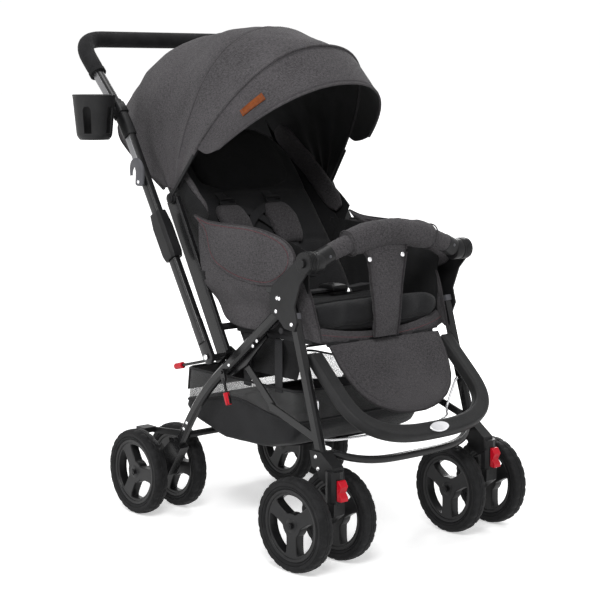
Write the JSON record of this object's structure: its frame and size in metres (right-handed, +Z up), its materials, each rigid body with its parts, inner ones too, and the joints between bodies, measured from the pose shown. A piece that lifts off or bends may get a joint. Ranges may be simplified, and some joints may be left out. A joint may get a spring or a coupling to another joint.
{
  "type": "reversible stroller",
  "caption": "Reversible-handle stroller with twin-wheel castors, reclining seat, folding canopy, bumper bar, footrest, basket and cup holder.",
  "frame": {"origin": "on the floor, under the middle of the whole object's box", "axes": "+Z up, -Y the way that the child faces, +X the child's left"},
  "size_m": [0.6108, 0.8686, 0.9952],
  "materials": {
    "frame_paint": "black satin paint",
    "black_plastic": "black moulded plastic",
    "board_plastic": "dark stiff board",
    "black_cloth": "black woven cloth",
    "charcoal_cloth": "charcoal heather weave",
    "steel_wire": "bright steel wire",
    "tyre_foam": "black foam tyre with a fine tread",
    "red_plastic": "red moulded plastic",
    "grey_plastic": "mid-grey moulded plastic",
    "grip_foam": "black grip foam"
  },
  "bodies": {
    "seat_frame": {"side_frame_R": "frame_paint", "side_frame_L": "frame_paint", "arm_plate_R": "black_plastic", "arm_plate_L": "black_plastic", "seat_base": "board_plastic", "seat_cushion": "black_cloth", "side_wing_R": "charcoal_cloth", "side_wing_L": "charcoal_cloth", "canopy_cover": "charcoal_cloth", "basket": "black_cloth"},
    "rear_legs": {"rear_leg_R": "frame_paint", "rear_leg_L": "frame_paint"},
    "front_legs": {"front_leg_R": "frame_paint", "front_leg_L": "frame_paint", "castor_housing_R": "black_plastic", "castor_housing_L": "black_plastic", "front_cross_tube": "frame_paint", "footrest": "black_plastic", "footrest_stay": "steel_wire"},
    "brace_rear_R": {"brace_rear_R": "frame_paint"},
    "brace_front_R": {"brace_front_R": "frame_paint"},
    "brace_rear_L": {"brace_rear_L": "frame_paint"},
    "brace_front_L": {"brace_front_L": "frame_paint"},
    "castor_R": {"castor_fork_R": "black_plastic"},
    "wheel_front_R_right": {"rim_front_R_right": "black_plastic", "tyre_front_R_right": "tyre_foam"},
    "wheel_front_R_left": {"rim_front_R_left": "black_plastic", "tyre_front_R_left": "tyre_foam"},
    "wheel_rear_R_right": {"rim_rear_R_right": "black_plastic", "tyre_rear_R_right": "tyre_foam"},
    "wheel_rear_R_left": {"rim_rear_R_left": "black_plastic", "tyre_rear_R_left": "tyre_foam"},
    "swivel_lock_R": {"swivel_lock_R": "red_plastic"},
    "castor_L": {"castor_fork_L": "black_plastic"},
    "wheel_front_L_right": {"rim_front_L_right": "black_plastic", "tyre_front_L_right": "tyre_foam"},
    "wheel_front_L_left": {"rim_front_L_left": "black_plastic", "tyre_front_L_left": "tyre_foam"},
    "wheel_rear_L_right": {"rim_rear_L_right": "black_plastic", "tyre_rear_L_right": "tyre_foam"},
    "wheel_rear_L_left": {"rim_rear_L_left": "black_plastic", "tyre_rear_L_left": "tyre_foam"},
    "swivel_lock_L": {"swivel_lock_L": "red_plastic"},
    "brake": {"brake_bar": "black_plastic"},
    "release": {"release_rod": "red_plastic"},
    "latch": {"latch_lever": "red_plastic"},
    "backrest": {"backrest_board": "board_plastic", "back_cushion": "black_cloth"},
    "leg_rest": {"leg_rest": "charcoal_cloth"},
    "bumper": {"bumper_bar": "charcoal_cloth", "crotch_wrap": "charcoal_cloth"},
    "bumper_button_R": {"bumper_button_R": "grey_plastic"},
    "bumper_button_L": {"bumper_button_L": "grey_plastic"},
    "handle": {"handle_tube": "frame_paint", "handle_grip": "grip_foam", "cup_holder": "black_plastic"},
    "lock_slider_R": {"lock_slider_R": "grey_plastic"},
    "lock_slider_L": {"lock_slider_L": "grey_plastic"},
    "bag_hook": {"bag_hook": "grey_plastic"},
    "canopy_visor": {"canopy_visor": "charcoal_cloth"}
  },
  "joints": [
    {"name": "frame_fold", "type": "hinge", "parent": "seat_frame", "child": "rear_legs", "pos_m": [0.03013, -0.2055, 0.46], "axis": [-1, 0, 0], "range_deg": [0, 12]},
    {"name": "front_legs_fold", "type": "hinge", "parent": "seat_frame", "child": "front_legs", "pos_m": [0.03013, -0.24974, 0.44], "axis": [1, 0, 0], "range_deg": [0, 6]},
    {"name": "brace_rear_turn_R", "type": "hinge", "parent": "rear_legs", "child": "brace_rear_R", "pos_m": [-0.15187, -0.0775, 0.345], "axis": [1, 0, 0], "range_deg": [0, 47]},
    {"name": "brace_front_turn_R", "type": "hinge", "parent": "front_legs", "child": "brace_front_R", "pos_m": [-0.15587, -0.306, 0.2285], "axis": [-1, 0, 0], "range_deg": [0, 29]},
    {"name": "brace_rear_turn_L", "type": "hinge", "parent": "rear_legs", "child": "brace_rear_L", "pos_m": [0.21213, -0.0775, 0.345], "axis": [1, 0, 0], "range_deg": [0, 47]},
    {"name": "brace_front_turn_L", "type": "hinge", "parent": "front_legs", "child": "brace_front_L", "pos_m": [0.21613, -0.306, 0.2285], "axis": [-1, 0, 0], "range_deg": [0, 29]},
    {"name": "castor_swivel_R", "type": "hinge", "parent": "front_legs", "child": "castor_R", "pos_m": [-0.17037, -0.3615, 0.0875], "axis": [0, 0, 1], "continuous": true},
    {"name": "wheel_front_R_right_spin", "type": "hinge", "parent": "castor_R", "child": "wheel_front_R_right", "pos_m": [-0.22895, -0.32101, 0.0875], "axis": [0.9981, 0.061, 0], "continuous": true},
    {"name": "wheel_front_R_left_spin", "type": "hinge", "parent": "castor_R", "child": "wheel_front_R_left", "pos_m": [-0.11716, -0.31417, 0.0875], "axis": [0.9981, 0.061, 0], "continuous": true},
    {"name": "wheel_rear_R_right_spin", "type": "hinge", "parent": "rear_legs", "child": "wheel_rear_R_right", "pos_m": [-0.21487, 0.1945, 0.0875], "axis": [1, 0, 0], "continuous": true},
    {"name": "wheel_rear_R_left_spin", "type": "hinge", "parent": "rear_legs", "child": "wheel_rear_R_left", "pos_m": [-0.11687, 0.1945, 0.0875], "axis": [1, 0, 0], "continuous": true},
    {"name": "swivel_lock_R_press", "type": "slide", "parent": "front_legs", "child": "swivel_lock_R", "axis": [0, 0, -1], "range_m": [0, 0.005]},
    {"name": "castor_swivel_L", "type": "hinge", "parent": "front_legs", "child": "castor_L", "pos_m": [0.23063, -0.3615, 0.0875], "axis": [0, 0, 1], "continuous": true},
    {"name": "wheel_front_L_right_spin", "type": "hinge", "parent": "castor_L", "child": "wheel_front_L_right", "pos_m": [0.17581, -0.31605, 0.0875], "axis": [0.9997, -0.0262, 0], "continuous": true},
    {"name": "wheel_front_L_left_spin", "type": "hinge", "parent": "castor_L", "child": "wheel_front_L_left", "pos_m": [0.28777, -0.31899, 0.0875], "axis": [0.9997, -0.0262, 0], "continuous": true},
    {"name": "wheel_rear_L_right_spin", "type": "hinge", "parent": "rear_legs", "child": "wheel_rear_L_right", "pos_m": [0.17713, 0.1945, 0.0875], "axis": [1, 0, 0], "continuous": true},
    {"name": "wheel_rear_L_left_spin", "type": "hinge", "parent": "rear_legs", "child": "wheel_rear_L_left", "pos_m": [0.27513, 0.1945, 0.0875], "axis": [1, 0, 0], "continuous": true},
    {"name": "swivel_lock_L_press", "type": "slide", "parent": "front_legs", "child": "swivel_lock_L", "axis": [0, 0, -1], "range_m": [0, 0.005]},
    {"name": "brake_tilt", "type": "hinge", "parent": "rear_legs", "child": "brake", "pos_m": [0.03013, 0.0985, 0.172], "axis": [-1, 0, 0], "range_deg": [0, 12]},
    {"name": "release_lift", "type": "hinge", "parent": "seat_frame", "child": "release", "pos_m": [0.03013, -0.0195, 0.345], "axis": [1, 0, 0], "range_deg": [0, 14]},
    {"name": "latch_turn", "type": "hinge", "parent": "rear_legs", "child": "latch", "pos_m": [-0.17587, -0.0395, 0.322], "axis": [-1, 0, 0], "range_deg": [0, 25]},
    {"name": "backrest_recline", "type": "hinge", "parent": "seat_frame", "child": "backrest", "pos_m": [0.03013, -0.0135, 0.406], "axis": [-1, 0, 0], "range_deg": [-12, 40]},
    {"name": "leg_rest_lift", "type": "hinge", "parent": "seat_frame", "child": "leg_rest", "pos_m": [0.03013, -0.2684, 0.3971], "axis": [-1, 0, 0], "range_deg": [0, 28]},
    {"name": "bumper_swing", "type": "hinge", "parent": "seat_frame", "child": "bumper", "pos_m": [0.03013, -0.2855, 0.556], "axis": [-1, 0, 0], "range_deg": [0, 65]},
    {"name": "bumper_button_R_press", "type": "slide", "parent": "seat_frame", "child": "bumper_button_R", "axis": [1, 0, 0], "range_m": [0, 0.004], "stiffness_N_per_m": 400},
    {"name": "bumper_button_L_press", "type": "slide", "parent": "seat_frame", "child": "bumper_button_L", "axis": [-1, 0, 0], "range_m": [0, 0.004], "stiffness_N_per_m": 400},
    {"name": "handle_reverse", "type": "hinge", "parent": "seat_frame", "child": "handle", "pos_m": [0.03013, -0.0355, 0.355], "axis": [1, 0, 0], "range_deg": [0, 72]},
    {"name": "lock_slider_R_lift", "type": "slide", "parent": "handle", "child": "lock_slider_R", "axis": [0, 0.524, 0.8517], "range_m": [0, 0.02], "stiffness_N_per_m": 150, "springref_m": -0.005},
    {"name": "lock_slider_L_lift", "type": "slide", "parent": "handle", "child": "lock_slider_L", "axis": [0, 0.524, 0.8517], "range_m": [0, 0.02], "stiffness_N_per_m": 150, "springref_m": -0.005},
    {"name": "bag_hook_turn", "type": "hinge", "parent": "handle", "child": "bag_hook", "pos_m": [-0.21687, 0.16628, 0.683], "axis": [1, 0, 0], "continuous": true},
    {"name": "visor_fold", "type": "hinge", "parent": "seat_frame", "child": "canopy_visor", "pos_m": [0.03013, 0.1235, 0.65], "axis": [-1, 0, 0], "range_deg": [0, 30]}
  ],
  "couplings": [
    {"joint": "front_legs_fold", "follows": "frame_fold", "ratio": 0.5},
    {"joint": "brace_rear_turn_R", "follows": "frame_fold", "ratio": 3.7646},
    {"joint": "brace_front_turn_R", "follows": "frame_fold", "ratio": 2.3249},
    {"joint": "brace_rear_turn_L", "follows": "frame_fold", "ratio": 3.7646},
    {"joint": "brace_front_turn_L", "follows": "frame_fold", "ratio": 2.3249}
  ]
}
